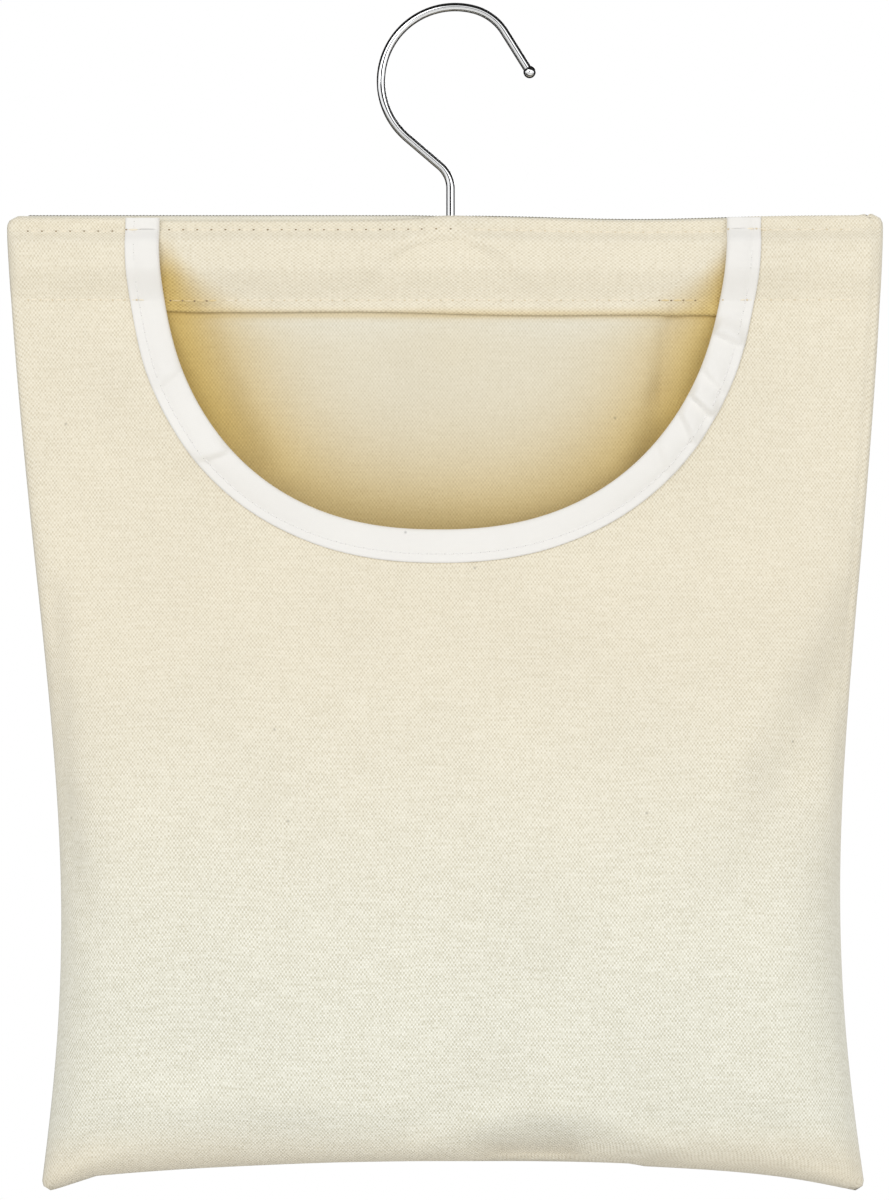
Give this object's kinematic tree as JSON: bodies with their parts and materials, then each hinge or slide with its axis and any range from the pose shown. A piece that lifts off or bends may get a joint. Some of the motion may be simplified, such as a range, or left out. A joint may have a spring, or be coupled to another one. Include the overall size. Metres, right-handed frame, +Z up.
{
  "type": "peg bag",
  "caption": "Canvas peg bag: a pouch with a scooped, tape-bound mouth, spread by a bar in a sleeve along its top and hung from a wire hook that swivels.",
  "frame": {"origin": "the seat inside the top of the hook, on the axis that the hook swivels about", "axes": "+Z up, from the bag to the hook; +X to the right seen from the front; -Y out of the mouth"},
  "size_m": [0.3426, 0.0803, 0.4643],
  "materials": {
    "plated_steel": "bright plated wire",
    "washer_steel": "plain zinc-plated",
    "bar_wood": "sanded, not varnished",
    "canvas": "natural plain-weave cotton canvas",
    "casing_canvas": "natural cotton canvas cut across the grain",
    "cotton_tape": "white cotton bias tape"
  },
  "bodies": {
    "hook": {"hook": "plated_steel"},
    "bag": {"front_panel": "canvas", "back_panel": "canvas", "casing_strip": "casing_canvas", "mouth_binding": "cotton_tape", "hanger_bar": "bar_wood", "hook_washer": "washer_steel"}
  },
  "joints": [
    {"name": "hook_swivel", "type": "hinge", "parent": "hook", "child": "bag", "pos_m": [0, 0, -0.09], "axis": [0, 0, 1], "continuous": true}
  ]
}
